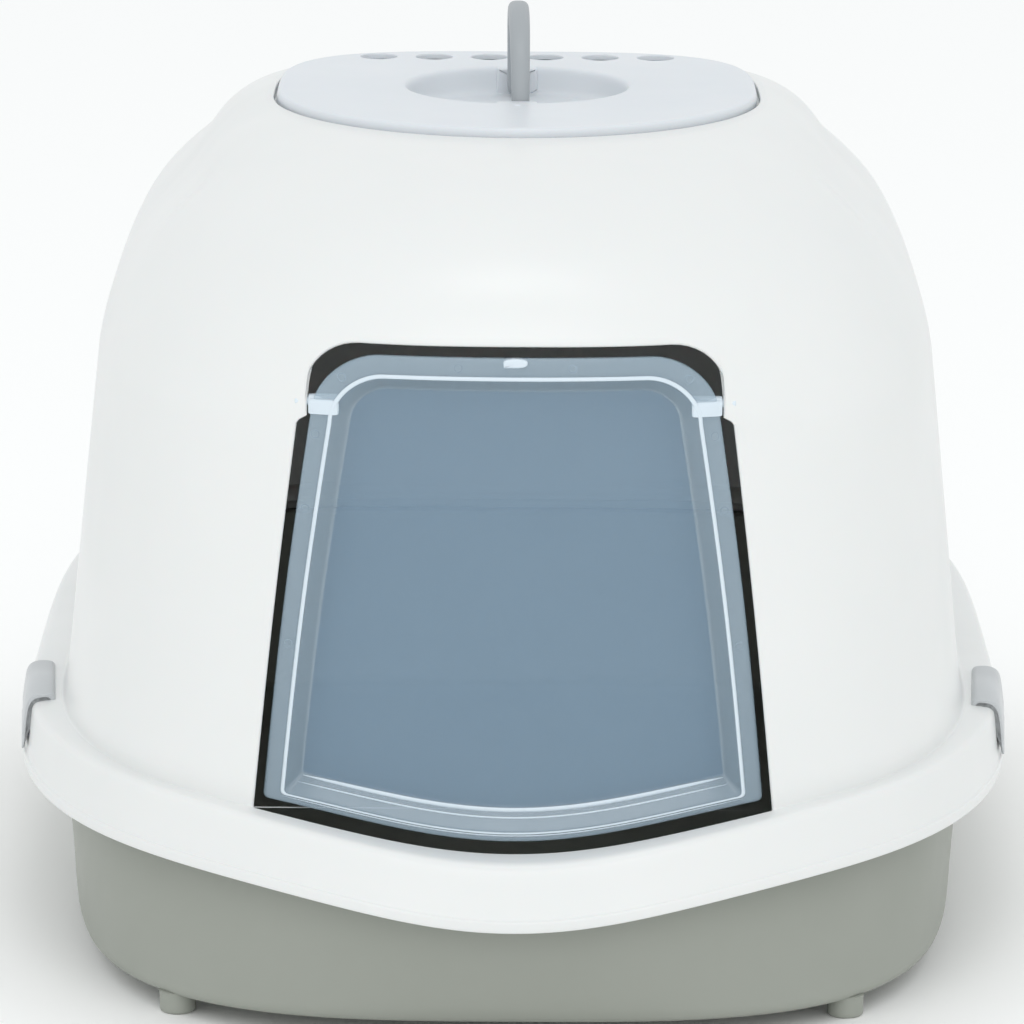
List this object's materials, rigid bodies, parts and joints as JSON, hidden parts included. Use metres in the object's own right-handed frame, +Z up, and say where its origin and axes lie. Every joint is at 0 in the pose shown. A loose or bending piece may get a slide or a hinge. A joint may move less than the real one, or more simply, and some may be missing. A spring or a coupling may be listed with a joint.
{
  "type": "hooded litter box",
  "caption": "Cat litter box: a tray on feet, a clip-on domed hood with a swinging see-through entry flap, a vented lift-off top lid with a folding carry handle, and side latches.",
  "frame": {"origin": "middle of the footprint, on the plane the feet stand on", "axes": "+X to the right of the box seen from its front, -Y towards the entry, +Z up"},
  "size_m": [0.4046, 0.57, 0.3683],
  "materials": {
    "tray_plastic": "satin moulded, sage grey",
    "hood_plastic": "semi-gloss moulded, cool white",
    "lid_plastic": "semi-gloss moulded, cool white",
    "handle_plastic": "satin moulded, grey",
    "door_plastic": "smoky translucent, polished",
    "latch_plastic": "satin moulded, light grey",
    "pad_fibre": "needled pale felt"
  },
  "bodies": {
    "tray": {"litter_tray": "tray_plastic"},
    "hood": {"hood": "hood_plastic"},
    "lid": {"top_lid": "lid_plastic", "filter_pad": "pad_fibre", "filter_grille": "lid_plastic"},
    "handle": {"carry_handle": "handle_plastic"},
    "door": {"entry_door": "door_plastic"},
    "latch_left": {"latch_left": "latch_plastic"},
    "latch_right": {"latch_right": "latch_plastic"}
  },
  "joints": [
    {"name": "hood_lift", "type": "slide", "parent": "tray", "child": "hood", "axis": [0, 0, 1], "range_m": [0, 0.06]},
    {"name": "lid_lift", "type": "slide", "parent": "hood", "child": "lid", "axis": [0, 0, 1], "range_m": [0, 0.04]},
    {"name": "handle_fold", "type": "hinge", "parent": "lid", "child": "handle", "pos_m": [0, -0.029, 0.3288], "axis": [0, 1, 0], "range_deg": [-90, 90]},
    {"name": "door_swing", "type": "hinge", "parent": "hood", "child": "door", "pos_m": [0, -0.2508, 0.25], "axis": [1, 0, 0], "range_deg": [-80, 80]},
    {"name": "latch_right_open", "type": "hinge", "parent": "hood", "child": "latch_right", "pos_m": [0.18733, -0.07913, 0.093], "axis": [-0.0698, -0.9976, 0], "range_deg": [0, 80]},
    {"name": "latch_left_open", "type": "hinge", "parent": "hood", "child": "latch_left", "pos_m": [-0.18733, -0.07913, 0.093], "axis": [-0.0698, 0.9976, 0], "range_deg": [0, 80]}
  ],
  "couplings": [
    {"joint": "latch_right_open", "follows": "hood_lift", "rad_per_m": 23.2},
    {"joint": "latch_left_open", "follows": "hood_lift", "rad_per_m": 23.2}
  ]
}
